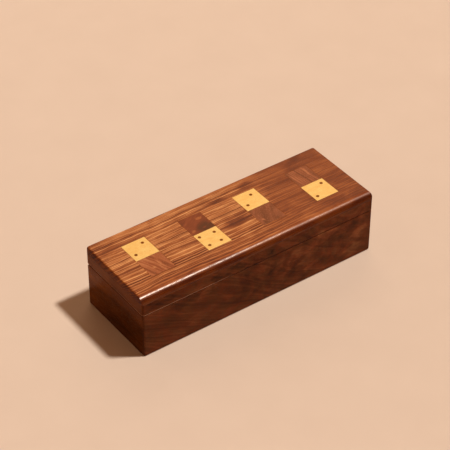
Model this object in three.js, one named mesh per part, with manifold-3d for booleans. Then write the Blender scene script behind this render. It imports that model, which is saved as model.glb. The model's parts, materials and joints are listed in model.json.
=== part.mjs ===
// A hinged rosewood box for small game pieces, with four domino inlays of brass and dark wood in its lid.
// Millimetres, +Z up. The origin is the centre of the underside, +X runs along the box, and +Y points
// to the back, where the lid is hinged.

import * as THREE from 'three';
import { mergeVertices } from 'three/addons/utils/BufferGeometryUtils.js';
import Module from 'manifold-3d';

const wasm = await Module();
wasm.setup();

// The box
const LENGTH = 165;
const DEPTH = 58;
const HEIGHT = 42.5;
const WALL = 6.5;
const CORNER_RADIUS = 1.5;         // of the four upright edges
const FRONT_EDGE_RADIUS = 5.4;     // of the lid's front top edge, which is rounded over the most
const TOP_EDGE_RADIUS = 1.4;       // of its other three top edges
const BOTTOM_EDGE_RADIUS = 1;
const SEAM_HEIGHT = 30.1;          // middle of the saw cut between base and lid
const SEAM_GAP = 0.35;
const SEAM_EDGE_RADIUS = 0.4;      // of the outer edges on both sides of that cut
const BOTTOM_PANEL_THICKNESS = 4;
const BOTTOM_REBATE = 3;           // how far the bottom panel runs in under each wall
const TOP_BOARD_THICKNESS = 4.5;
const GLUE_GAP = 0.05;             // between two pieces that are glued together

// The inlays. A domino is two squares, one behind the other.
const SQUARE = 15.85;
const INLAY_THICKNESS = 1.4;
const INLAY_GAP = 0.15;            // around each square
const DOMINO_PITCH = 39.2;
const DOMINO_ROW_MIDDLE = [0.2, 0.8];
const PIP_RADIUS = 0.95;

// From left to right: which end of the domino is brass, and where its hand-drilled pips sit in that square.
const DOMINOES = [
  { brass: 'back', pips: [[4.2, 4.1], [-4.9, -3.0]] },
  { brass: 'front', pips: [[4.2, 4.1], [-5.7, 4.9], [3.3, -4.2], [-4.9, -4.2]] },
  { brass: 'back', pips: [[2.9, 3.9], [-4.5, -3.4]] },
  { brass: 'front', pips: [[4.6, 4.4], [-4.9, -4.4]] },
];

// The hinges
const HINGE_PLACES = { left: -50, right: 50 };
const HINGE_LENGTH = 20;
const AXIS_INSET = 1.25;           // from the back face in to the axis of the hinge pins
const CHAMFER = 1.7;               // on both back edges at the seam, where the open lid comes to rest
const LEAF_WIDTH = 4.6;            // from the axis to the leaf's inner edge
const LEAF_THICKNESS = 0.8;
const KNUCKLE_RADIUS = 1.2;
const KNUCKLE_CLEARANCE = 0.3;
const MIDDLE_KNUCKLE = 6.4;
const PIN_RADIUS = 0.5;
const PIN_CLEARANCE = 0.1;

// The hinge screws
const SCREW_SPACING = 12;
const HEAD_RADIUS = 1.1;
const SHANK_RADIUS = 0.6;
const HEAD_HEIGHT = HEAD_RADIUS - SHANK_RADIUS;
const SCREW_LENGTH = 6;
const SCREW_POINT = 1;
const SLOT_WIDTH = 0.35;
const SLOT_DEPTH = 0.3;
const SCREW_CLEARANCE = 0.06;

// Fineness of the round shapes
const CORNER_STEPS = 4;
const RIM_STEPS = 4;
const FRONT_STEPS = 12;
const ROUND_SIDES = 24;

// Worked out from the sizes above
const BASE_TOP = SEAM_HEIGHT - SEAM_GAP / 2;
const LID_BOTTOM = SEAM_HEIGHT + SEAM_GAP / 2;
const BOARD_UNDERSIDE = HEIGHT - TOP_BOARD_THICKNESS;
const BACK_FACE = DEPTH / 2;
const AXIS_Y = BACK_FACE - AXIS_INSET;
const SWEEP_RADIUS = KNUCKLE_RADIUS + KNUCKLE_CLEARANCE;
const SCREW_Y = -(LEAF_WIDTH + SWEEP_RADIUS) / 2;
const SCREW_PLACES = [-SCREW_SPACING / 2, SCREW_SPACING / 2];
const KNUCKLE_ENDS = [
  [-HINGE_LENGTH / 2, -MIDDLE_KNUCKLE / 2 - KNUCKLE_CLEARANCE],
  [-MIDDLE_KNUCKLE / 2, MIDDLE_KNUCKLE / 2],
  [MIDDLE_KNUCKLE / 2 + KNUCKLE_CLEARANCE, HINGE_LENGTH / 2],
];

const wallWood = new THREE.MeshStandardMaterial({ color: 0x4a2413, roughness: 0.3, metalness: 0 });
const topWood = new THREE.MeshStandardMaterial({ color: 0x96522c, roughness: 0.3, metalness: 0 });
const panelWood = new THREE.MeshStandardMaterial({ color: 0x6b3a20, roughness: 0.5, metalness: 0 });
const darkWood = new THREE.MeshStandardMaterial({ color: 0x5a1f12, roughness: 0.35, metalness: 0 });
const inlayBrass = new THREE.MeshStandardMaterial({ color: 0xe9b85a, roughness: 0.35, metalness: 1 });
const pipFiller = new THREE.MeshStandardMaterial({ color: 0x2a130a, roughness: 0.5, metalness: 0 });
const hingeBrass = new THREE.MeshStandardMaterial({ color: 0xcfa050, roughness: 0.4, metalness: 1 });

// ---- Joining and cutting ----

function toSolid(geometry) {
  const bare = geometry.clone();
  bare.deleteAttribute('normal');
  bare.deleteAttribute('uv');
  const merged = mergeVertices(bare);
  return new wasm.Manifold(new wasm.Mesh({
    numProp: 3,
    vertProperties: new Float32Array(merged.attributes.position.array),
    triVerts: new Uint32Array(merged.index.array),
  }));
}

function toGeometry(solid) {
  const { vertProperties, triVerts } = solid.getMesh();
  const geometry = new THREE.BufferGeometry();
  geometry.setAttribute('position', new THREE.BufferAttribute(vertProperties, 3));
  geometry.setIndex(new THREE.BufferAttribute(triVerts, 1));
  geometry.computeVertexNormals();
  return geometry;
}

function join(...shapes) {
  return toGeometry(shapes.map(toSolid).reduce((whole, next) => whole.add(next)));
}

function cut(shape, ...tools) {
  return toGeometry([shape, ...tools].map(toSolid).reduce((rest, tool) => rest.subtract(tool)));
}

function common(first, second) {
  return toGeometry(toSolid(first).intersect(toSolid(second)));
}

// ---- Plain shapes ----

function block([x0, x1], [y0, y1], [z0, z1]) {
  const geometry = new THREE.BoxGeometry(x1 - x0, y1 - y0, z1 - z0);
  return geometry.translate((x0 + x1) / 2, (y0 + y1) / 2, (z0 + z1) / 2);
}

function rodAlongX(radius, [x0, x1]) {
  const geometry = new THREE.CylinderGeometry(radius, radius, x1 - x0, ROUND_SIDES);
  return geometry.rotateZ(Math.PI / 2).translate((x0 + x1) / 2, 0, 0);
}

function rodAlongZ(radius, [z0, z1]) {
  const geometry = new THREE.CylinderGeometry(radius, radius, z1 - z0, ROUND_SIDES);
  return geometry.rotateX(Math.PI / 2).translate(0, 0, (z0 + z1) / 2);
}

function named(name, geometry, material) {
  const mesh = new THREE.Mesh(geometry, material);
  mesh.name = name;
  return mesh;
}

// ---- The wooden case ----

// The full footprint from z0 to z1, its upright edges rounded and the rims of both faces rounded over.
function roundedForm(rimRadius, z0, z1) {
  const x = LENGTH / 2 - CORNER_RADIUS;
  const y = DEPTH / 2 - CORNER_RADIUS;
  const outline = new THREE.Shape();
  outline.absarc(x, y, CORNER_RADIUS, 0, Math.PI / 2);
  outline.absarc(-x, y, CORNER_RADIUS, Math.PI / 2, Math.PI);
  outline.absarc(-x, -y, CORNER_RADIUS, Math.PI, 1.5 * Math.PI);
  outline.absarc(x, -y, CORNER_RADIUS, 1.5 * Math.PI, 2 * Math.PI);
  outline.closePath();
  const geometry = new THREE.ExtrudeGeometry(outline, {
    depth: z1 - z0 - 2 * rimRadius,
    curveSegments: CORNER_STEPS,
    bevelThickness: rimRadius,
    bevelSize: rimRadius,
    bevelOffset: -rimRadius,
    bevelSegments: RIM_STEPS,
  });
  return geometry.translate(0, 0, z0 + rimRadius);
}

// A bar that runs past both ends of the box. Its section's x lies along Y and its y along Z.
function barAlongX(section) {
  const bar = new THREE.ExtrudeGeometry(section, {
    depth: LENGTH + 2,
    bevelEnabled: false,
    curveSegments: FRONT_STEPS,
  });
  return bar.rotateX(Math.PI / 2).rotateZ(Math.PI / 2).translate(-LENGTH / 2 - 1, 0, 0);
}

// Everything the case may fill under its rounded front top edge.
function frontRounding() {
  const section = new THREE.Shape();
  const [y, z] = [-DEPTH / 2 + FRONT_EDGE_RADIUS, HEIGHT - FRONT_EDGE_RADIUS];
  section.moveTo(-DEPTH / 2, -1);
  section.lineTo(-DEPTH / 2, z);
  section.absarc(y, z, FRONT_EDGE_RADIUS, Math.PI, Math.PI / 2, true);
  section.lineTo(DEPTH, HEIGHT);
  section.lineTo(DEPTH, -1);
  section.closePath();
  return barAlongX(section);
}

// The outside of the base and of the lid.
const baseForm = common(
  roundedForm(BOTTOM_EDGE_RADIUS, 0, 2 * HEIGHT),
  roundedForm(SEAM_EDGE_RADIUS, -HEIGHT, BASE_TOP),
);
const lidForm = [
  roundedForm(TOP_EDGE_RADIUS, -HEIGHT, HEIGHT),
  roundedForm(SEAM_EDGE_RADIUS, LID_BOTTOM, 2 * HEIGHT),
  frontRounding(),
].reduce((first, second) => common(first, second));

// A wedge as long as the box that bevels its back edge at the seam: up is 1 for the lid, -1 for the base.
function seamBevel(up) {
  const section = new THREE.Shape();
  section.moveTo(BACK_FACE - CHAMFER - 1, -up);
  section.lineTo(BACK_FACE + 1, up * (CHAMFER + 1));
  section.lineTo(BACK_FACE + 1, -up);
  section.closePath();
  return barAlongX(section).translate(0, 0, up > 0 ? LID_BOTTOM : BASE_TOP);
}

// A mitred wall, drawn as a front wall whose outer face is `reach` from the middle, then turned about Z.
function mitredWall(form, length, reach, turn, [z0, z1]) {
  const half = length / 2 - GLUE_GAP / Math.SQRT2;
  const plan = new THREE.Shape();
  plan.moveTo(-half, -reach);
  plan.lineTo(half, -reach);
  plan.lineTo(half - WALL, -reach + WALL);
  plan.lineTo(-half + WALL, -reach + WALL);
  plan.closePath();
  const geometry = new THREE.ExtrudeGeometry(plan, { depth: z1 - z0, bevelEnabled: false });
  return common(geometry.translate(0, 0, z0).rotateZ(turn), form);
}

function fourWalls(form, heights) {
  return {
    front: mitredWall(form, LENGTH, DEPTH / 2, 0, heights),
    right: mitredWall(form, DEPTH, LENGTH / 2, Math.PI / 2, heights),
    back: mitredWall(form, LENGTH, DEPTH / 2, Math.PI, heights),
    left: mitredWall(form, DEPTH, LENGTH / 2, -Math.PI / 2, heights),
  };
}

// ---- Hinges ----
// A hinge is drawn about its own axis, with the leaf lying face up under the seam as in the base.
// The same drawing turned half round about Y is the lid's side.

// What one side of a hinge takes out of a back wall: a rebate, room for the knuckles and two pilot holes.
function hingeRecess() {
  const ends = [-HINGE_LENGTH / 2 - KNUCKLE_CLEARANCE, HINGE_LENGTH / 2 + KNUCKLE_CLEARANCE];
  const depth = SEAM_GAP / 2 + LEAF_THICKNESS + GLUE_GAP;
  const rebate = block(ends, [-LEAF_WIDTH - GLUE_GAP, AXIS_INSET + 1], [-depth, 0]);
  const pilots = SCREW_PLACES.map((x) => {
    const hole = rodAlongZ(SHANK_RADIUS + SCREW_CLEARANCE, [-SEAM_GAP - SCREW_LENGTH, 0]);
    return hole.translate(x, SCREW_Y, 0);
  });
  return join(rebate, rodAlongX(SWEEP_RADIUS, ends), ...pilots);
}

// One leaf with the knuckles it owns. The others' knuckles turn in the notches cut for them.
function hingeLeaf(ownKnuckles, otherKnuckles) {
  const heights = [-SEAM_GAP / 2 - LEAF_THICKNESS, -SEAM_GAP / 2];
  let leaf = block([-HINGE_LENGTH / 2, HINGE_LENGTH / 2], [-LEAF_WIDTH, 0], heights);
  for (const [x0, x1] of otherKnuckles) {
    leaf = cut(leaf, rodAlongX(SWEEP_RADIUS, [x0 - KNUCKLE_CLEARANCE, x1 + KNUCKLE_CLEARANCE]));
  }
  leaf = join(leaf, ...ownKnuckles.map((ends) => rodAlongX(KNUCKLE_RADIUS, ends)));
  const bore = rodAlongX(PIN_RADIUS + PIN_CLEARANCE, [-HINGE_LENGTH, HINGE_LENGTH]);
  return cut(leaf, bore, ...SCREW_PLACES.map((x) => countersink().translate(x, SCREW_Y, -SEAM_GAP / 2)));
}

// The turned form of a screw, its face at Z = 0 and its point down, made `extra` bigger all round.
function screwForm(extra, length) {
  const profile = [
    new THREE.Vector2(0, -length),
    new THREE.Vector2(SHANK_RADIUS / 2 + extra, -length),
    new THREE.Vector2(SHANK_RADIUS + extra, -length + SCREW_POINT),
    new THREE.Vector2(SHANK_RADIUS + extra, -HEAD_HEIGHT),
    new THREE.Vector2(HEAD_RADIUS + extra, 0),
    new THREE.Vector2(0, 0),
  ];
  return new THREE.LatheGeometry(profile, ROUND_SIDES).rotateX(Math.PI / 2);
}

function countersink() {
  return screwForm(SCREW_CLEARANCE, SCREW_LENGTH);
}

function slottedScrew() {
  const slot = block([-HEAD_RADIUS, HEAD_RADIUS], [-SLOT_WIDTH / 2, SLOT_WIDTH / 2], [-SLOT_DEPTH, 1]);
  return cut(screwForm(0, SCREW_LENGTH), slot);
}

// A leaf and its two screws, as a group about the hinge's axis.
function leafGroup(side, part, leaf) {
  const group = new THREE.Group();
  group.add(named(`${side}_hinge_${part}_leaf`, leaf, hingeBrass));
  SCREW_PLACES.forEach((x, index) => {
    const screw = named(`${side}_hinge_${part}_screw_${index + 1}`, slottedScrew(), hingeBrass);
    screw.position.set(x, SCREW_Y, -SEAM_GAP / 2);
    group.add(screw);
  });
  return group;
}

function hinge(side) {
  const [first, middle, last] = KNUCKLE_ENDS;
  const group = new THREE.Group();
  group.add(leafGroup(side, 'base', hingeLeaf([first, last], [middle])));
  const lidSide = leafGroup(side, 'lid', hingeLeaf([middle], [first, last]));
  lidSide.rotation.y = Math.PI;
  group.add(lidSide);
  const pin = rodAlongX(PIN_RADIUS, [-HINGE_LENGTH / 2, HINGE_LENGTH / 2]);
  group.add(named(`${side}_hinge_pin`, pin, hingeBrass));
  group.position.set(HINGE_PLACES[side], AXIS_Y, SEAM_HEIGHT);
  return group;
}

// ---- Base and lid ----

function baseWalls() {
  const walls = fourWalls(baseForm, [0, BASE_TOP]);
  for (const middle of Object.values(HINGE_PLACES)) {
    walls.back = cut(walls.back, hingeRecess().translate(middle, AXIS_Y, SEAM_HEIGHT));
  }
  const x = LENGTH / 2 - WALL + BOTTOM_REBATE + GLUE_GAP;
  const y = DEPTH / 2 - WALL + BOTTOM_REBATE + GLUE_GAP;
  const rebate = block([-x, x], [-y, y], [-1, BOTTOM_PANEL_THICKNESS + GLUE_GAP]);
  return Object.entries(walls).map(([side, wall]) => {
    return named(`base_${side}_wall`, cut(wall, seamBevel(-1), rebate), wallWood);
  });
}

function bottomPanel() {
  const x = LENGTH / 2 - WALL + BOTTOM_REBATE;
  const y = DEPTH / 2 - WALL + BOTTOM_REBATE;
  return named('bottom_panel', block([-x, x], [-y, y], [0, BOTTOM_PANEL_THICKNESS]), panelWood);
}

function lidWalls() {
  const walls = fourWalls(lidForm, [LID_BOTTOM, BOARD_UNDERSIDE - GLUE_GAP]);
  for (const middle of Object.values(HINGE_PLACES)) {
    const recess = hingeRecess().rotateY(Math.PI).translate(middle, AXIS_Y, SEAM_HEIGHT);
    walls.back = cut(walls.back, recess);
  }
  return Object.entries(walls).map(([side, wall]) => {
    return named(`lid_${side}_wall`, cut(wall, seamBevel(1)), wallWood);
  });
}

function dominoX(index) {
  return DOMINO_ROW_MIDDLE[0] + (index - (DOMINOES.length - 1) / 2) * DOMINO_PITCH;
}

function topBoard() {
  const x = SQUARE / 2 + INLAY_GAP;
  const y = SQUARE + 1.5 * INLAY_GAP;
  const pockets = DOMINOES.map((domino, index) => {
    const pocket = block([-x, x], [-y, y], [-INLAY_THICKNESS - GLUE_GAP, 1]);
    return pocket.translate(dominoX(index), DOMINO_ROW_MIDDLE[1], HEIGHT);
  });
  const size = [LENGTH / 2 + 1, DEPTH / 2 + 1];
  const slab = block([-size[0], size[0]], [-size[1], size[1]], [BOARD_UNDERSIDE, HEIGHT + 1]);
  return named('lid_top_board', cut(common(slab, lidForm), ...pockets), topWood);
}

// One domino: a brass square with plugged pip holes, and a dark wooden one, both flush with the board.
function dominoInlay({ brass, pips }, index) {
  const number = index + 1;
  const half = SQUARE / 2;
  const heights = [-INLAY_THICKNESS, 0];
  const square = block([-half, half], [-half, half], heights);
  const holes = pips.map(([x, y]) => rodAlongZ(PIP_RADIUS + GLUE_GAP, [-HEIGHT, 1]).translate(x, y, 0));
  const brassSquare = named(`brass_square_${number}`, cut(square, ...holes), inlayBrass);
  const darkSquare = named(`dark_square_${number}`, square, darkWood);
  const brassSide = brass === 'back' ? 1 : -1;
  const offset = (SQUARE + INLAY_GAP) / 2;
  brassSquare.position.y = brassSide * offset;
  darkSquare.position.y = -brassSide * offset;
  const group = new THREE.Group();
  group.add(brassSquare, darkSquare);
  pips.forEach(([x, y], place) => {
    const pip = named(`pip_${number}_${place + 1}`, rodAlongZ(PIP_RADIUS, heights), pipFiller);
    pip.position.set(x, y + brassSquare.position.y, 0);
    group.add(pip);
  });
  group.position.set(dominoX(index), DOMINO_ROW_MIDDLE[1], HEIGHT);
  return group;
}

const box = new THREE.Group();
box.add(...baseWalls(), bottomPanel());
box.add(...lidWalls(), topBoard(), ...DOMINOES.map(dominoInlay));
box.add(hinge('left'), hinge('right'));

export default box;
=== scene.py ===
"""Looks for the hinged rosewood box with domino inlays: figured wood, brass, lac lines, studio and camera."""

import json
import math
from dataclasses import dataclass

import bmesh
import bpy
from mathutils import Matrix, Vector


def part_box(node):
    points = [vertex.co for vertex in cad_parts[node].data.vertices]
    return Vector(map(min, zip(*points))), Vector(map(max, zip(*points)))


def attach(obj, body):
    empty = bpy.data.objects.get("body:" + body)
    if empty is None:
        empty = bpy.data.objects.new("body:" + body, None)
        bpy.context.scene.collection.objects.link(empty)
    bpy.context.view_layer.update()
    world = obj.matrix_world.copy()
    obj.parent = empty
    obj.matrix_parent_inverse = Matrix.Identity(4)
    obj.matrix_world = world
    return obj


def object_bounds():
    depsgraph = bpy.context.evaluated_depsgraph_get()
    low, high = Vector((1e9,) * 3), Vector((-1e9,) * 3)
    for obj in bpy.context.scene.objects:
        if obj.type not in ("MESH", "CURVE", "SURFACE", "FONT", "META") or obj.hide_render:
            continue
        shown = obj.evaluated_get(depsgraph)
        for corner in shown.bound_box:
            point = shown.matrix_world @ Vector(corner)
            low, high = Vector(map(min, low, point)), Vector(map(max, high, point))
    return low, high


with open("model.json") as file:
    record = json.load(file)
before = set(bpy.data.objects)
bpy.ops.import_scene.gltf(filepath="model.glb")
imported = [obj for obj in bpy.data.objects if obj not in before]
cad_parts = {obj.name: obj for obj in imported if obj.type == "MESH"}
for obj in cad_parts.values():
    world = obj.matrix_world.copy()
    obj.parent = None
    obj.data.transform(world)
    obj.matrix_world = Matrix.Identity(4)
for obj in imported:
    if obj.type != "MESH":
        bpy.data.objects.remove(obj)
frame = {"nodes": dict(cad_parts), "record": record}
CAD_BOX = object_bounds()
NODES = frame["nodes"]

MM = 0.001
FRONT_LOW, FRONT_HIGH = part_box("base_front_wall")
WALL = FRONT_HIGH.y - FRONT_LOW.y
SEAM = (FRONT_HIGH.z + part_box("lid_front_wall")[0].z) / 2

# ---- The wood ----
# Colours are linear. Each board has five tones, from its darkest lines to its brightest streaks.
WALL_TONES = [
    (0.034, 0.0085, 0.0016), (0.066, 0.0165, 0.0030), (0.100, 0.0258, 0.0053), (0.146, 0.0410, 0.0118),
    (0.225, 0.0760, 0.0260),
]
END_TONES = [
    (0.036, 0.0088, 0.0013), (0.075, 0.0182, 0.0024), (0.132, 0.0330, 0.0040), (0.200, 0.0560, 0.0075),
    (0.320, 0.1050, 0.0170),
]
TOP_TONES = [
    (0.108, 0.0215, 0.0065), (0.222, 0.0550, 0.0150), (0.385, 0.1250, 0.0350), (0.560, 0.2400, 0.0860),
    (0.750, 0.3900, 0.1550),
]
PANEL_TONES = [
    (0.070, 0.0230, 0.0100), (0.120, 0.0420, 0.0180), (0.180, 0.0660, 0.0280), (0.260, 0.1050, 0.0450),
    (0.340, 0.1500, 0.0650),
]
RED_TONES = [
    (0.250, 0.0520, 0.0130), (0.345, 0.0750, 0.0200), (0.480, 0.1350, 0.0480), (0.620, 0.2200, 0.0850),
    (0.800, 0.3600, 0.1500),
]
MAROON_TONES = [
    (0.045, 0.0052, 0.0014), (0.093, 0.0110, 0.0026), (0.200, 0.0260, 0.0062), (0.285, 0.0490, 0.0140),
    (0.480, 0.1450, 0.0400),
]
RUSSET_TONES = [
    (0.130, 0.0280, 0.0080), (0.205, 0.0480, 0.0155), (0.300, 0.0830, 0.0340), (0.430, 0.1260, 0.0540),
    (0.620, 0.2300, 0.1000),
]

# These multiply a colour: fibres and pores, the drift to brown or red, the painted shade on the top board's
# ends, and the painted shade along the seam.
FIBRE_TINT = (0.55, 0.50, 0.48, 1)
PORE_TINT = (0.30, 0.22, 0.20, 1)
BROWNER = (0.93, 1.02, 1.04, 1)
REDDER = (1.10, 0.94, 0.88, 1)
END_SHADE_TINT = (1.50, 1.34, 0.25, 1)
SEAM_SHADE_TINT = (0.45, 0.38, 0.35, 1)

# These are mixed into a colour: specks in the dark squares, the painted highlight along the seam, and wood
# without lacquer.
SPECK_COLOUR = (0.85, 0.42, 0.24, 1)
SEAM_HIGHLIGHT_COLOUR = (0.60, 0.35, 0.24, 1)
RAW_COLOUR = (0.20, 0.095, 0.048, 1)


@dataclass
class Patch:
    """A soft-edged place where the wood is lighter, or darker if lift is below 0. Calm quiets its figure."""
    middle: tuple
    reach: tuple
    lift: float
    calm: float = 0
    turn: float = 0  # degrees about Y


@dataclass
class Board:
    """How one board was cut and what shows in it. Millimetres, and X is along the grain after the turn."""
    tones: list
    turn: tuple = (0, 0, 0)
    offset: tuple = (0, 0, 0)
    heart: tuple = (-75, -70)  # the middle of the growth rings, across the grain
    wander: float = 5  # how far the rings stray
    line_spacing: float = 1.0
    contrast: float = 1  # strength of the rings and streaks
    cloud: float = 0.3  # strength of the soft clouds
    flame: float = 0  # strength of the swirling flames
    flames_from: float = -1000  # the X where the flames begin
    patches: tuple = ()
    stray: float = 1  # how far the patches' edges stray
    reddening: float = 0  # how far the colour drifts between BROWNER and REDDER
    painted_side_shade: tuple = ()  # painted shade: tints for the upright faces and the rounded shoulders
    seam_highlight: float = 0  # how strong the painted highlight along the lid's lower edge is
    specks: float = 0
    gloss: float = 0.1
    inside_below: float = 1000  # the height below which the faces round the hollow have no lacquer


class Tree:
    """A material being put together. Most methods add a node and give its output."""

    def __init__(self, name):
        self.material = bpy.data.materials.new(name)
        self.material.use_nodes = True
        self.tree = self.material.node_tree
        self.surface = self.tree.nodes["Principled BSDF"]

    def add(self, kind, inputs, **settings):
        node = self.tree.nodes.new("ShaderNode" + kind)
        for key, value in settings.items():
            setattr(node, key, value)
        for key, value in inputs.items():
            self.feed(node.inputs[key], value)
        return node

    def feed(self, socket, value):
        if isinstance(value, bpy.types.NodeSocket):
            self.tree.links.new(value, socket)
        else:
            socket.default_value = value

    def math(self, operation, first, second=0.0, third=0.0):
        inputs = {0: first, 1: second, 2: third}
        return self.add("Math", inputs, operation=operation).outputs[0]

    def vector(self, operation, first, second=(0, 0, 0)):
        return self.add("VectorMath", {0: first, 1: second}, operation=operation).outputs[0]

    def length(self, vector):
        return self.add("VectorMath", {0: vector}, operation="LENGTH").outputs["Value"]

    def place(self):
        """Where the point is in the row frame at rest, in millimetres."""
        raw = self.add("TexCoord", {}).outputs["Object"]
        return self.vector("MULTIPLY", raw, (1000, 1000, 1000))

    def normal(self):
        return self.add("TexCoord", {}).outputs["Normal"]

    def stretched(self, vector, sizes):
        return self.vector("DIVIDE", vector, sizes)

    def noise(self, vector, detail=2.0, roughness=0.5, distortion=0.0):
        inputs = {
            "Vector": vector, "Scale": 1, "Detail": detail, "Roughness": roughness, "Distortion": distortion,
        }
        return self.add("TexNoise", inputs).outputs["Fac"]

    def noise_vector(self, vector, detail=1.0):
        inputs = {"Vector": vector, "Scale": 1, "Detail": detail}
        colour = self.add("TexNoise", inputs).outputs["Color"]
        return self.vector("SUBTRACT", colour, (0.5, 0.5, 0.5))

    def noise_along(self, distance, detail=2.0):
        inputs = {"W": distance, "Scale": 1, "Detail": detail, "Roughness": 0.6}
        return self.add("TexNoise", inputs, noise_dimensions="1D").outputs["Fac"]

    def remap(self, value, low, high, new_low=0.0, new_high=1.0, smooth=False):
        inputs = {"Value": value, "From Min": low, "From Max": high, "To Min": new_low, "To Max": new_high}
        kind = "SMOOTHSTEP" if smooth else "LINEAR"
        return self.add("MapRange", inputs, interpolation_type=kind).outputs[0]

    def swing(self, noise, amount):
        """Noise lies mostly between 0.3 and 0.7. This spreads it from minus to plus the amount."""
        return self.remap(noise, 0.3, 0.7, -amount, amount)

    def drift(self, vector, sizes, detail, reach):
        """An offset that changes smoothly over the given sizes, by up to about half the reach each way."""
        return self.vector("MULTIPLY", self.noise_vector(self.stretched(vector, sizes), detail), reach)

    def ramp(self, value, tones):
        node = self.add("ValToRGB", {"Fac": value})
        stops = node.color_ramp.elements
        for index, tone in enumerate(tones):
            position = index / (len(tones) - 1)
            stop = stops[index] if index < 2 else stops.new(position)
            stop.position = position
            stop.color = (*tone, 1)
        return node.outputs["Color"]

    def mix(self, share, first, second, blend="MIX"):
        node = self.add("Mix", {"Factor": share}, data_type="RGBA", blend_type=blend)
        self.feed(node.inputs[6], first)
        self.feed(node.inputs[7], second)
        return node.outputs[2]

    def bump(self, height, depth, under=None):
        inputs = {"Height": height, "Distance": depth, "Strength": 1}
        if under is not None:
            inputs["Normal"] = under
        return self.add("Bump", inputs).outputs[0]

    def constants(self, **values):
        for key, value in values.items():
            self.surface.inputs[key.replace("_", " ")].default_value = value


def in_patches(t, place, patches, stray):
    """How much all the patches lift the tone and calm the figure. Their edges stray from clean ovals."""
    strayed = t.vector("ADD", place, t.drift(place, (9, 4, 4), 2, (9 * stray, 5 * stray, 5 * stray)))
    lift = 0.0
    calm = 0.0
    for patch in patches:
        from_middle = t.vector("SUBTRACT", strayed, patch.middle)
        turn = (0, math.radians(patch.turn), 0)
        turned = t.add("VectorRotate", {"Vector": from_middle, "Rotation": turn}, rotation_type="EULER_XYZ")
        far = t.length(t.vector("DIVIDE", turned.outputs[0], patch.reach))
        inside = t.remap(far, 0.25, 1, 1, 0, smooth=True)
        lift = t.math("MULTIPLY_ADD", inside, patch.lift, lift)
        calm = t.math("MULTIPLY_ADD", inside, patch.calm, calm)
    return lift, calm


def tone_of(t, place, wood, strayed, swirled, board):
    """How bright the wood is, from about 0 to 1: growth rings, streaks, flames, clouds and placed patches."""
    from_heart = t.vector("SUBTRACT", t.vector("MULTIPLY", strayed, (0, 1, 1)), (0, *board.heart))
    ring = t.math("DIVIDE", t.length(from_heart), board.line_spacing)
    lines = t.swing(t.noise_along(ring, 4), 0.5)
    belts = t.swing(t.noise_along(t.math("DIVIDE", ring, 5), 1), 0.12)
    streaks = t.swing(t.noise(t.stretched(strayed, (24, 0.5, 0.5)), 2), 0.2)

    along = t.add("SeparateXYZ", {"Vector": place}).outputs[0]
    flaming = t.remap(along, board.flames_from - 15, board.flames_from + 15, smooth=True)
    flames = t.swing(t.noise(t.stretched(swirled, (7, 6, 8)), 3), board.flame)
    clouds = t.swing(t.noise(t.stretched(wood, (20, 9, 9)), 2, 0.55, 0.6), board.cloud)

    lift, calm = in_patches(t, place, board.patches, board.stray)
    strength = t.math("MULTIPLY_ADD", calm, -board.contrast, board.contrast)
    figure = t.math("MULTIPLY", t.math("ADD", t.math("ADD", lines, belts), streaks), strength)
    figure = t.math("ADD", figure, t.math("ADD", clouds, t.math("MULTIPLY", flames, flaming)))
    return t.math("ADD", t.math("ADD", figure, 0.5), lift)


def end_faces(t):
    """1 on the faces that look along X, and 0 on the others."""
    endward = t.add("SeparateXYZ", {"Vector": t.vector("ABSOLUTE", t.normal())}).outputs[0]
    return t.remap(endward, 0.4, 0.8, smooth=True)


def paint_side_shade(t, colour, upright, shoulder):
    """Painted shade: where the board doesn't face up its colour is darkened, most of all on its upright
    faces. The end faces are tinted further.
    """
    upward = t.add("SeparateXYZ", {"Vector": t.vector("ABSOLUTE", t.normal())}).outputs[2]
    side = t.remap(upward, 0.70, 0.96, 1, 0, smooth=True)
    side_shade_tint = t.mix(t.remap(upward, 0.05, 0.6), (*upright, 1), (*shoulder, 1))
    colour = t.mix(side, colour, side_shade_tint, "MULTIPLY")
    return t.mix(end_faces(t), colour, END_SHADE_TINT, "MULTIPLY")


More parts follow.
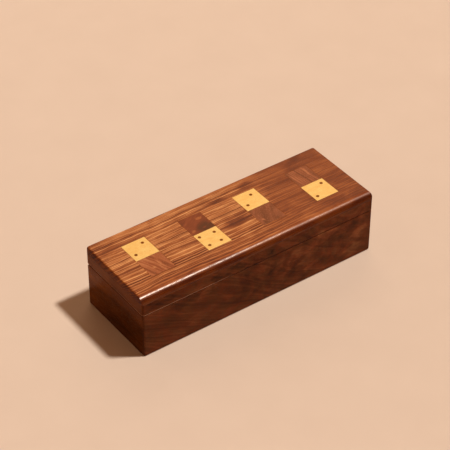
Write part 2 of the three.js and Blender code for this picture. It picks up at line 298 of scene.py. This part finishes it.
def rosewood(name, board):
    t = Tree(name)
    place = t.place()
    wood = t.add("Mapping", {"Vector": place, "Location": board.offset, "Rotation": board.turn}).outputs[0]

    # The grain strays slowly along the board and quickly over a few millimetres. Figure swirls more widely.
    slow = t.drift(wood, (55, 20, 20), 1, (0, board.wander, board.wander))
    quick = t.drift(wood, (9, 3.2, 3.2), 1, (0, 0.9, 0.9))
    strayed = t.vector("ADD", t.vector("ADD", wood, slow), quick)
    swirled = t.vector("ADD", wood, t.drift(wood, (30, 20, 20), 2, (20, 20, 20)))

    colour = t.ramp(tone_of(t, place, wood, strayed, swirled, board), board.tones)
    if board.reddening:
        redder = t.remap(t.noise(t.stretched(swirled, (6, 5, 5)), 1), 0.35, 0.65)
        colour = t.mix(board.reddening, colour, t.mix(redder, BROWNER, REDDER), "MULTIPLY")
    # Painted shade on the faces that don't face up.
    if board.painted_side_shade:
        colour = paint_side_shade(t, colour, *board.painted_side_shade)
    # Painted highlight and painted shade along the lid's lower edge at the seam.
    if board.seam_highlight:
        colour = paint_seam_light_and_shade(t, place, colour, board.seam_highlight)
    if board.specks:
        specks = t.remap(t.noise(t.stretched(place, (0.55, 0.55, 0.55)), 1), 0.60, 0.72, 0, board.specks)
        colour = t.mix(specks, colour, SPECK_COLOUR)

    # Fine fibres, and the open pores that show as short dark dashes.
    fibres = t.noise(t.stretched(strayed, (7, 0.16, 0.16)), 2)
    pores = t.remap(t.noise(t.stretched(strayed, (2.6, 0.2, 0.2)), 1), 0.60, 0.72)
    colour = t.mix(t.remap(fibres, 0.35, 0.65, 0.0, 0.35), colour, FIBRE_TINT, "MULTIPLY")
    colour = t.mix(t.math("MULTIPLY", pores, 0.55), colour, PORE_TINT, "MULTIPLY")

    rough = t.remap(fibres, 0.3, 0.7, 0.20, 0.28)
    if board.painted_side_shade:
        rough = t.math("MULTIPLY_ADD", end_faces(t), 0.55, rough)
    colour, rough = raw_inside(t, place, colour, rough, board.inside_below)

    t.feed(t.surface.inputs["Base Color"], colour)
    t.feed(t.surface.inputs["Roughness"], t.math("MULTIPLY_ADD", pores, 0.2, rough))
    t.constants(Specular_IOR_Level=board.gloss)
    sanded = t.bump(t.noise(t.stretched(place, (18, 8, 8)), 0), 0.15 * MM)
    t.feed(t.surface.inputs["Normal"], t.bump(t.math("MULTIPLY_ADD", pores, -1, fibres), 0.008 * MM, sanded))
    return t.material


def paint_seam_light_and_shade(t, place, colour, share):
    """Paints a highlight along the lid's lower outside edge, at the saw cut, on the left, and painted shade
    on the rest.
    """
    x, y, z = t.add("SeparateXYZ", {"Vector": place}).outputs
    end = CAD_BOX[1].x / MM
    face = CAD_BOX[1].y / MM
    seam = SEAM / MM
    # Only the outermost fraction of a millimetre of the lid's rim, just above the cut.
    at_end = t.remap(t.math("ABSOLUTE", x), end - 0.6, end - 0.3)
    at_face = t.remap(t.math("ABSOLUTE", y), face - 0.6, face - 0.3)
    low = t.math("MULTIPLY", t.remap(z, seam + 0.8, seam + 0.5), t.math("GREATER_THAN", z, seam))
    near = t.math("MULTIPLY", low, t.math("MAXIMUM", at_end, at_face))
    left = t.remap(x, -34, -18, share, 0, smooth=True)
    uneven = t.noise(t.stretched(place, (6, 6, 6)), 2)
    # Painted highlight on the left part of the rim, and painted shade from the middle on.
    seam_highlight_share = t.math("MULTIPLY", t.math("MULTIPLY", near, left), t.remap(uneven, 0.3, 0.6, 0.5, 1))
    seam_shade_share = t.math("MULTIPLY", near, t.remap(x, -20, -4, 0, 0.8))
    colour = t.mix(seam_shade_share, colour, SEAM_SHADE_TINT, "MULTIPLY")
    return t.mix(seam_highlight_share, colour, SEAM_HIGHLIGHT_COLOUR)


def raw_inside(t, place, colour, rough, below):
    """The faces around the hollow aren't lacquered: paler, greyer and dull."""
    x, y, z = t.add("SeparateXYZ", {"Vector": place}).outputs
    margin = 0.05
    hollow_x = (CAD_BOX[1].x - WALL) / MM + margin
    hollow_y = (CAD_BOX[1].y - WALL) / MM + margin
    in_x = t.math("LESS_THAN", t.math("ABSOLUTE", x), hollow_x)
    in_y = t.math("LESS_THAN", t.math("ABSOLUTE", y), hollow_y)
    in_z = t.math("LESS_THAN", z, below)
    raw = t.math("MULTIPLY", t.math("MULTIPLY", in_x, in_y), in_z)
    paler = t.mix(0.45, colour, RAW_COLOUR)
    return t.mix(raw, colour, paler), t.math("MULTIPLY_ADD", raw, 0.32, rough)


def paint(material, *names):
    for name in names:
        mesh = NODES[name].data
        mesh.materials.clear()
        mesh.materials.append(material)


# Marks given in millimetres from the frame's origin. The top is calm on the right and along its
# front, with a dark streak between the second and third inlays. The front is mottled on its right half and
# has dark marks above the seam.
TOP_PATCHES = (
    Patch((70, 0, 42), (68, 90, 40), -0.215, calm=0.70),
    Patch((55, 26, 42), (50, 12, 30), -0.10, calm=0.2),
    Patch((-30, -24, 42), (130, 9, 30), -0.17, calm=0.45),
    Patch((-76, 24, 42), (16, 10, 30), -0.14),
    Patch((-35, 23, 42), (40, 5, 30), 0.06),
    Patch((1, -3.0, 42), (13, 5.0, 30), -0.40, calm=0.5),
    Patch((1, -8.3, 42), (17, 1.8, 30), 0.20),
    Patch((1, -9, 42), (20, 9, 30), -0.12, calm=0.15),
    Patch((-38, -7.5, 42), (18, 2.4, 30), 0.18),
    Patch((2, 20, 42), (9, 2.4, 30), -0.30),
    Patch((25, 22, 42), (9, 3.4, 30), -0.30),
    Patch((0, -16, 42), (9, 1.8, 30), 0.20),
    # Painted highlight: the first mark below lightens the top board's front side on the right, where the
    # front edge's highlight spreads down. The second lightens the top just behind that edge.
    Patch((62, -29.5, 38.5), (60, 5, 5), 0.08),
    Patch((32, -26, 42), (66, 4, 30), 0.17),
    Patch((27, -10, 42), (20, 12, 30), -0.10, calm=0.4),
)
FRONT_PATCHES = (
    Patch((38, -29, 26), (22, 30, 7), 0.28, turn=12),
    Patch((34, -29, 15), (6, 30, 12), 0.22, turn=20),
    Patch((70, -29, 14), (6, 30, 14), 0.30, turn=-32),
    Patch((66, -29, 4), (20, 30, 6), 0.12),
    Patch((24, -29, 15), (5, 30, 11), -0.26, turn=-12),
    Patch((9, -29, 19), (4, 30, 10), -0.22, turn=-15),
    Patch((67, -29, 25), (5, 30, 10), -0.24, turn=-25),
    Patch((60, -29, 33), (36, 30, 12), 0.15),
    Patch((60, -29, 14), (34, 30, 22), 0.10),
    Patch((-56, -29, 34), (34, 30, 8), 0.06),
    Patch((-8, -29, 12), (36, 30, 16), -0.08),
    Patch((-50, -29, 8), (34, 30, 6), 0.16, turn=22),
    Patch((-52, -29, 27), (14, 30, 5), -0.24, turn=10),
    Patch((-37, -29, 27), (5, 30, 5), 0.30, turn=-30),
    Patch((-72, -29, 35), (14, 30, 4), -0.28),
    Patch((-30, -29, 34), (5, 30, 4), -0.34),
    Patch((-16, -29, 34), (5, 30, 4), -0.36),
    Patch((-4, -29, 33), (4, 30, 4), -0.30),
    Patch((5, -29, 35), (4, 30, 4), -0.34),
    Patch((32, -29, 34), (5, 30, 4), -0.16),
)
# Painted reflection on the left end: darker low down toward the front, lighter higher up and at the back,
# where the floor's shadow and the lit floor would be reflected.
LEFT_PAINTED_REFLECTION = (
    Patch((-82, -20, 2), (30, 58, 40), -0.36),
    Patch((-82, 24, 30), (30, 28, 18), 0.12),
    Patch((-82, 0, 36), (30, 44, 8), 0.06),
)


def turned(degrees):
    """Turns the grain about Z, as it lies in the lid's face."""
    return (0, 0, math.radians(degrees))


def tilted(degrees):
    """Turns the grain about Y, as it lies in the front's face."""
    return (0, math.radians(degrees), 0)


# The front wall, and the left wall below, carry a painted highlight and painted shade along the seam.
FRONT = Board(
    WALL_TONES, turn=tilted(-27), heart=(-90, 55), wander=11, line_spacing=1.5, contrast=0.34, cloud=0.14,
    flame=0.2, flames_from=-25, patches=FRONT_PATCHES, stray=2.6, reddening=1, seam_highlight=1, gloss=0.06,
)
BACK = Board(
    WALL_TONES, turn=tilted(6), offset=(40, 0, 13), heart=(-60, -50), wander=8, line_spacing=1.4,
    contrast=0.5, gloss=0.06,
)
LEFT = Board(
    END_TONES, turn=turned(-90), offset=(11, 7, 3), heart=(-55, -40), wander=6, line_spacing=1.3,
    contrast=0.15, cloud=0.12, patches=LEFT_PAINTED_REFLECTION, seam_highlight=0.6, gloss=0.03,
)
RIGHT = Board(
    END_TONES, turn=turned(-90), offset=(70, -9, 21), heart=(55, -60), wander=6, line_spacing=1.3,
    contrast=0.5, gloss=0.05,
)
# The top board carries painted shade on its upright faces and rounded shoulders.
TOP = Board(
    TOP_TONES, heart=(-85, -40), wander=3.5, line_spacing=0.65, cloud=0.14, patches=TOP_PATCHES,
    painted_side_shade=((0.22, 0.135, 0.040), (0.31, 0.190, 0.085)), gloss=0.28, inside_below=41,
)
PANEL = Board(PANEL_TONES, offset=(5, 30, 60), heart=(20, 90), wander=7, line_spacing=1.6, contrast=0.8)

for side, board in {"front": FRONT, "back": BACK, "left": LEFT, "right": RIGHT}.items():
    paint(rosewood(f"rosewood_{side}", board), f"base_{side}_wall", f"lid_{side}_wall")
paint(rosewood("rosewood_top", TOP), "lid_top_board")
paint(rosewood("rosewood_panel", PANEL), "bottom_panel")

DARK_SQUARES = {
    1: Board(RED_TONES, turn=turned(-112), offset=(3, 9, 0), heart=(40, -30), wander=3, line_spacing=1.2,
             contrast=0.9, cloud=0.2, specks=0.3, patches=(
                 Patch((-56.5, -8, 42), (1.8, 9, 9), 0.4),
                 Patch((-62, -9, 42), (1.4, 1.4, 9), 0.6),
             )),
    2: Board(MAROON_TONES, turn=turned(-30), offset=(0, 31, 0), heart=(30, -30), wander=5, line_spacing=1.6,
             contrast=0.4, patches=(
                 Patch((-15.5, 3.5, 42), (9, 6.5, 9), -0.7),
                 Patch((-15.7, 12.0, 42), (2.2, 1.8, 9), 0.6),
                 Patch((-24.5, 3.6, 42), (2.2, 1.6, 9), 0.6),
                 Patch((-17, 3.8, 42), (2.4, 1.8, 9), 0.5),
             )),
    3: Board(RUSSET_TONES, turn=turned(-60), offset=(17, 0, 0), heart=(-30, -30), wander=4, line_spacing=0.9,
             contrast=0.4, cloud=0.35, specks=0.4, patches=(
                 Patch((15.5, -11, 42), (1.5, 1.5, 9), 0.9),
                 Patch((14.5, -3, 42), (7, 7, 9), -0.12),
                 Patch((25, -11, 42), (8, 8, 9), 0.14),
             )),
    4: Board(RUSSET_TONES, turn=turned(-98), offset=(50, 0, 8), heart=(34, -24), wander=3, line_spacing=0.9,
             contrast=0.75, specks=0.45, patches=(
                 Patch((54, 8, 42), (5, 12, 9), 0.14),
                 Patch((63.5, 11, 42), (1.2, 5, 9), 0.5),
             )),
}
for number, board in DARK_SQUARES.items():
    paint(rosewood(f"dark_square_{number}", board), f"dark_square_{number}")


# ---- Brass and lac ----

def brass(name, tones, roughness, scratch_turn=(0, 0, 0)):
    """Sanded brass: fine scratches one way, small specks, and slow patches of tarnish."""
    t = Tree(name)
    place = t.place()
    sanded = t.add("Mapping", {"Vector": place, "Rotation": scratch_turn}).outputs[0]
    scratches = t.noise(t.stretched(sanded, (9, 0.14, 0.14)), 3, 0.6)
    clouds = t.noise(t.stretched(place, (5, 4, 4)), 3, 0.6)
    specks = t.noise(t.stretched(place, (0.5, 0.5, 0.5)), 2, 0.6)
    tone = t.math("MULTIPLY_ADD", scratches, 0.4, t.math("MULTIPLY", clouds, 0.35))
    tone = t.math("MULTIPLY_ADD", specks, 0.35, t.math("ADD", tone, -0.05))
    t.feed(t.surface.inputs["Base Color"], t.ramp(t.remap(tone, 0.38, 0.62), tones))
    t.feed(t.surface.inputs["Roughness"], t.remap(tone, 0.35, 0.65, roughness + 0.08, roughness - 0.08))
    t.feed(t.surface.inputs["Normal"], t.bump(scratches, 0.01 * MM))
    t.constants(Metallic=1)
    return t.material


def dark_lac(name):
    """The hard dark lac that fills the pip holes and the joints round the inlays."""
    t = Tree(name)
    place = t.place()
    grains = t.noise(t.stretched(place, (0.5, 0.5, 0.5)), 3, 0.6)
    t.feed(t.surface.inputs["Base Color"], t.ramp(t.remap(grains, 0.3, 0.7), LAC_TONES))
    t.feed(t.surface.inputs["Roughness"], t.remap(grains, 0.3, 0.7, 0.35, 0.55))
    t.feed(t.surface.inputs["Normal"], t.bump(grains, 0.03 * MM))
    t.constants(Specular_IOR_Level=0.1)
    return t.material


INLAY_TONES = [(0.92, 0.64, 0.225), (1.0, 0.84, 0.385)]
HINGE_TONES = [(0.42, 0.23, 0.070), (0.80, 0.52, 0.190)]
SCREW_TONES = [(0.36, 0.20, 0.065), (0.74, 0.47, 0.170)]
LAC_TONES = [(0.150, 0.0400, 0.0020), (0.260, 0.0750, 0.0050)]
FINISHES = {
    "inlay_brass": brass("inlay_brass", INLAY_TONES, 0.55),
    "hinge_brass": brass("hinge_brass", HINGE_TONES, 0.34),
    "screw_brass": brass("screw_brass", SCREW_TONES, 0.38, turned(90)),
    "pip_filler": dark_lac("dark_lac"),
}

for piece in frame["record"]["subparts"]:
    if piece["material_slot"] in FINISHES:
        paint(FINISHES[piece["material_slot"]], piece["node"])


# ---- Softer edges on the CAD pieces ----

SHARP = math.radians(35)
WELD_DISTANCE = 0.002 * MM


def smooth_group():
    """A modifier that shades a mesh smoothly across every edge less sharp than SHARP."""
    group = bpy.data.node_groups.new("shade_smooth", "GeometryNodeTree")
    group.interface.new_socket("Geometry", in_out="INPUT", socket_type="NodeSocketGeometry")
    group.interface.new_socket("Geometry", in_out="OUTPUT", socket_type="NodeSocketGeometry")
    entry = group.nodes.new("NodeGroupInput")
    leave = group.nodes.new("NodeGroupOutput")
    faces = group.nodes.new("GeometryNodeSetShadeSmooth")
    edges = group.nodes.new("GeometryNodeSetShadeSmooth")
    edges.domain = "EDGE"
    edges.inputs["Shade Smooth"].default_value = False
    angle = group.nodes.new("GeometryNodeInputMeshEdgeAngle")
    sharp = group.nodes.new("ShaderNodeMath")
    sharp.operation = "GREATER_THAN"
    sharp.inputs[1].default_value = SHARP
    group.links.new(entry.outputs[0], faces.inputs["Geometry"])
    group.links.new(faces.outputs[0], edges.inputs["Geometry"])
    group.links.new(angle.outputs[0], sharp.inputs[0])
    group.links.new(sharp.outputs[0], edges.inputs["Selection"])
    group.links.new(edges.outputs[0], leave.inputs[0])
    return group


SMOOTH = smooth_group()


def soften(name, width, segments):
    """Eases the sharp edges of a CAD piece, and shades its round faces smoothly. Its mesh stays as it is."""
    piece = NODES[name]
    weld = piece.modifiers.new("weld", "WELD")
    weld.merge_threshold = WELD_DISTANCE
    if width:
        bevel = piece.modifiers.new("bevel", "BEVEL")
        bevel.width = width
        bevel.segments = segments
        bevel.limit_method = "ANGLE"
        bevel.angle_limit = SHARP
    smooth = piece.modifiers.new("smooth", "NODES")
    smooth.node_group = SMOOTH
    normals = piece.modifiers.new("normals", "WEIGHTED_NORMAL")
    normals.keep_sharp = True


# The width of the eased edges in each finish, and the bevel's segments. The walls and the top board have
# none, because CAD rounds their outside edges.
EDGE = {
    "wall_rosewood": (0, 0), "top_rosewood": (0, 0), "panel_rosewood": (0.15 * MM, 2),
    "inlay_dark_wood": (0.05 * MM, 1), "inlay_brass": (0.05 * MM, 1), "pip_filler": (0.08 * MM, 2),
    "hinge_brass": (0.08 * MM, 2), "screw_brass": (0.05 * MM, 1),
}
for piece in frame["record"]["subparts"]:
    soften(piece["node"], *EDGE[piece["material_slot"]])


# ---- Lac lines round the inlays ----

LAC_WIDTH = 0.14 * MM
LAC_THICKNESS = 0.6 * MM
LAC_BELOW_FACE = 0.03 * MM


def lac_frame(number):
    """Fills the joint round a domino's two squares and between them, just under the face of the lid."""
    first_low, first_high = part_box(f"brass_square_{number}")
    second_low, second_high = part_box(f"dark_square_{number}")
    left = first_low.x
    right = first_high.x
    front = min(first_low.y, second_low.y)
    back = max(first_high.y, second_high.y)
    middle_low = min(first_high.y, second_high.y)
    middle_high = max(first_low.y, second_low.y)
    top = CAD_BOX[1].z - LAC_BELOW_FACE
    xs = [left - LAC_WIDTH, left, right, right + LAC_WIDTH]
    ys = [front - LAC_WIDTH, front, middle_low, middle_high, back, back + LAC_WIDTH]
    squares = {(1, 1), (1, 3)}
    shape = bmesh.new()
    grid = {(i, j): shape.verts.new((x, y, top)) for i, x in enumerate(xs) for j, y in enumerate(ys)}
    for i in range(len(xs) - 1):
        for j in range(len(ys) - 1):
            if (i, j) not in squares:
                shape.faces.new([grid[i, j], grid[i + 1, j], grid[i + 1, j + 1], grid[i, j + 1]])
    mesh = bpy.data.meshes.new(f"domino_lac_{number}")
    shape.to_mesh(mesh)
    shape.free()
    piece = bpy.data.objects.new(f"domino_lac_{number}", mesh)
    bpy.context.scene.collection.objects.link(piece)
    thick = piece.modifiers.new("thick", "SOLIDIFY")
    thick.thickness = LAC_THICKNESS
    thick.offset = -1
    mesh.materials.append(FINISHES["pip_filler"])
    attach(piece, "lid")


for number in DARK_SQUARES:
    lac_frame(number)


# ---- Floor, light and camera ----

FLOOR_TONES = [(0.641, 0.558, 0.493), (0.681, 0.598, 0.533)]
FLAT_RADIUS = 1.6
CURVE_RADIUS = 0.6
CURVE_STEPS = 8
FLOOR_SEGMENTS = 96
STUDIO_HEIGHT = 1.4


def studio_floor():
    """A plain pale floor that curves up to a wall all round, well outside the camera's view."""
    profile = [(0, 0), (0.3, 0), (0.8, 0), (FLAT_RADIUS, 0)]
    for step in range(1, CURVE_STEPS + 1):
        angle = math.radians(90 * step / CURVE_STEPS)
        out = CURVE_RADIUS * math.sin(angle)
        up = CURVE_RADIUS * (1 - math.cos(angle))
        profile.append((FLAT_RADIUS + out, up))
    profile.append((FLAT_RADIUS + CURVE_RADIUS, STUDIO_HEIGHT))
    shape = bmesh.new()
    points = [shape.verts.new((radius, 0, height)) for radius, height in profile]
    for first, second in zip(points, points[1:]):
        shape.edges.new((first, second))
    everything = shape.verts[:] + shape.edges[:]
    bmesh.ops.spin(
        shape, geom=everything, axis=(0, 0, 1), cent=(0, 0, 0), steps=FLOOR_SEGMENTS, angle=math.tau,
    )
    bmesh.ops.remove_doubles(shape, verts=shape.verts[:], dist=0.00001)
    bmesh.ops.recalc_face_normals(shape, faces=shape.faces[:])
    for face in shape.faces:
        face.smooth = True
    mesh = bpy.data.meshes.new("floor")
    shape.to_mesh(mesh)
    shape.free()
    t = Tree("floor")
    speckle = t.noise(t.stretched(t.place(), (30, 30, 30)), 3)
    t.feed(t.surface.inputs["Base Color"], t.ramp(speckle, FLOOR_TONES))
    t.constants(Roughness=0.7, Specular_IOR_Level=0.2)
    mesh.materials.append(t.material)
    floor = bpy.data.objects.new("floor", mesh)
    bpy.context.scene.collection.objects.link(floor)


KEY_DIRECTION = Vector((0.37, -0.233, 0.899))
KEY_STRENGTH = 3.1
KEY_COLOUR = (1.0, 0.86, 0.72)
KEY_SOFTNESS = 5.5
FILL_DIRECTION = Vector((0.458, 0.630, 0.628))
FILL_DISTANCE = 1.6
FILL_SIZE = 1.1
FILL_POWER = 3.4
FILL_COLOUR = (1.0, 0.72, 0.46)
SKY_COLOUR = (1.0, 0.36, 0.09)
SKY_STRENGTH = 0.22

studio_floor()

key = bpy.data.objects.new("key", bpy.data.lights.new("key", "SUN"))
key.data.energy = KEY_STRENGTH
key.data.color = KEY_COLOUR
key.data.angle = math.radians(KEY_SOFTNESS)
key.rotation_euler = KEY_DIRECTION.to_track_quat("Z", "Y").to_euler()
bpy.context.scene.collection.objects.link(key)

fill = bpy.data.objects.new("fill", bpy.data.lights.new("fill", "AREA"))
fill.data.energy = FILL_POWER
fill.data.color = FILL_COLOUR
fill.data.size = FILL_SIZE
fill.location = FILL_DIRECTION * FILL_DISTANCE
fill.rotation_euler = FILL_DIRECTION.to_track_quat("Z", "Y").to_euler()
bpy.context.scene.collection.objects.link(fill)

world = bpy.data.worlds.new("studio")
world.use_nodes = True
world.node_tree.nodes["Background"].inputs["Color"].default_value = (*SKY_COLOUR, 1)
world.node_tree.nodes["Background"].inputs["Strength"].default_value = SKY_STRENGTH
bpy.context.scene.world = world
bpy.context.scene.view_settings.view_transform = "Standard"

VIEW_TARGET = Vector((0.0245, 0.0409, 0))
VIEW_AZIMUTH = math.radians(36.04)
VIEW_ELEVATION = math.radians(38.87)
VIEW_DISTANCE = 1.0929
VIEW_ROLL = math.radians(0.23)
LENS = 141.4
SENSOR_WIDTH = 36

camera = bpy.data.objects.new("camera", bpy.data.cameras.new("camera"))
camera.data.lens = LENS
camera.data.sensor_width = SENSOR_WIDTH
away = Vector((
    -math.sin(VIEW_AZIMUTH) * math.cos(VIEW_ELEVATION),
    -math.cos(VIEW_AZIMUTH) * math.cos(VIEW_ELEVATION),
    math.sin(VIEW_ELEVATION),
))
camera.location = VIEW_TARGET + away * VIEW_DISTANCE
facing = (-away).to_track_quat("-Z", "Y").to_matrix() @ Matrix.Rotation(VIEW_ROLL, 3, "Z")
camera.rotation_euler = facing.to_euler()
bpy.context.scene.collection.objects.link(camera)
bpy.context.scene.camera = camera
